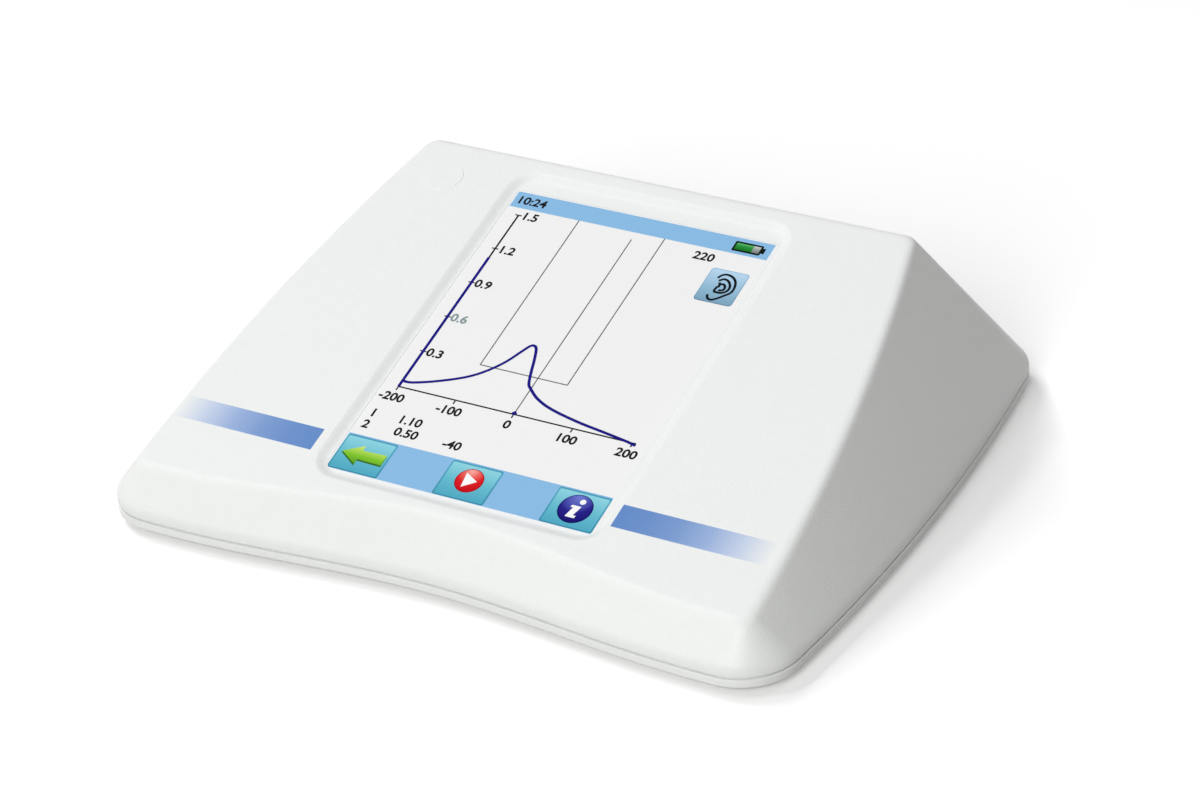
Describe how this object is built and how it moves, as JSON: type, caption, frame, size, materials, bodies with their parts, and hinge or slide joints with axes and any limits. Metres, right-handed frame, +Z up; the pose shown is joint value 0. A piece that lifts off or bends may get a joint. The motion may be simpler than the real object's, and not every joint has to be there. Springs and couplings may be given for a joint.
{
  "type": "tympanometer",
  "caption": "Desk tympanometer: a low wedge console with a sloped touch screen, a motor driven air pump inside, and a rear bay with power, earphone, probe and air sockets.",
  "frame": {"origin": "On the desk, under the middle of the case's plan", "axes": "+Z up, -Y towards the user, +X to the user's right"},
  "size_m": [0.222, 0.19, 0.0631],
  "materials": {
    "case_plastic": "fine satin moulding, cool white",
    "screen_glass": "clear touch panel over a lit white page",
    "black_rubber": "soft matte",
    "grey_rubber": "soft matte",
    "steel": "plated, fine brushed",
    "white_plastic": "moulded",
    "black_plastic": "fine satin moulding",
    "grey_plastic": "fine satin moulding",
    "board_green": "solder mask",
    "ribbon_film": "amber film",
    "cell_wrap": "printed sleeve without print",
    "brass": "machined",
    "aluminium": "machined, clear anodised",
    "clear_tube": "translucent soft tube"
  },
  "bodies": {
    "case": {"top_cover": "case_plastic", "base_tray": "case_plastic", "rear_panel": "case_plastic", "touch_panel": "screen_glass", "screen_gasket": "black_rubber", "display_frame": "steel", "display_glass": "screen_glass", "backlight": "white_plastic", "main_board": "board_green", "board_screws": "steel", "processor_chips": "black_plastic", "board_headers": "white_plastic", "buzzer": "black_plastic", "display_ribbon": "ribbon_film", "case_screws": "steel", "rubber_feet": "grey_rubber", "battery_cells": "cell_wrap", "battery_contacts": "steel", "battery_door": "case_plastic", "door_screw": "steel", "switch_body": "black_plastic", "power_inlet": "black_plastic", "usb_port": "steel", "earphone_jack": "black_plastic", "jack_nut": "steel", "probe_socket": "grey_plastic", "probe_contacts": "brass", "air_nipple": "steel", "connector_board": "board_green", "connector_screws": "steel", "pump_bracket": "aluminium", "bracket_screws": "steel", "pump_motor": "steel", "motor_screws": "steel", "screw_bushings": "brass", "guide_rod": "steel", "pump_cylinder": "aluminium", "cylinder_cap": "aluminium", "manifold_block": "aluminium", "pressure_sensor": "white_plastic", "valve_body": "black_plastic", "valve_spring": "steel", "pump_tube": "clear_tube", "probe_tube": "clear_tube"},
    "rocker": {"power_rocker": "black_plastic"},
    "motor_rotor": {"motor_shaft": "steel", "motor_pinion": "brass"},
    "screw": {"lead_screw": "steel", "screw_gear": "white_plastic"},
    "piston": {"drive_nut": "brass", "piston_rod": "steel", "pump_piston": "white_plastic", "piston_seal": "black_rubber"},
    "plunger": {"valve_plunger": "steel"}
  },
  "joints": [
    {"name": "rocker_tip", "type": "hinge", "parent": "case", "child": "rocker", "pos_m": [-0.05, 0.074, 0.019], "axis": [1, 0, 0], "range_deg": [0, 16]},
    {"name": "screw_turn", "type": "hinge", "parent": "case", "child": "screw", "pos_m": [-0.064, 0.038, 0.024], "axis": [1, 0, 0], "range_deg": [0, 1080]},
    {"name": "motor_turn", "type": "hinge", "parent": "case", "child": "motor_rotor", "pos_m": [-0.064, 0.026, 0.024], "axis": [1, 0, 0], "range_deg": [-3240, 0]},
    {"name": "piston_slide", "type": "slide", "parent": "case", "child": "piston", "axis": [1, 0, 0], "range_m": [0, 0.018]},
    {"name": "valve_lift", "type": "slide", "parent": "case", "child": "plunger", "axis": [0, 0, 1], "range_m": [0, 0.001], "stiffness_N_per_m": 200, "springref_m": -0.0005, "deforming": ["valve_spring"]}
  ],
  "couplings": [
    {"joint": "screw_turn", "follows": "piston_slide", "rad_per_m": 1047.2},
    {"joint": "motor_turn", "follows": "piston_slide", "rad_per_m": -3141.6}
  ]
}
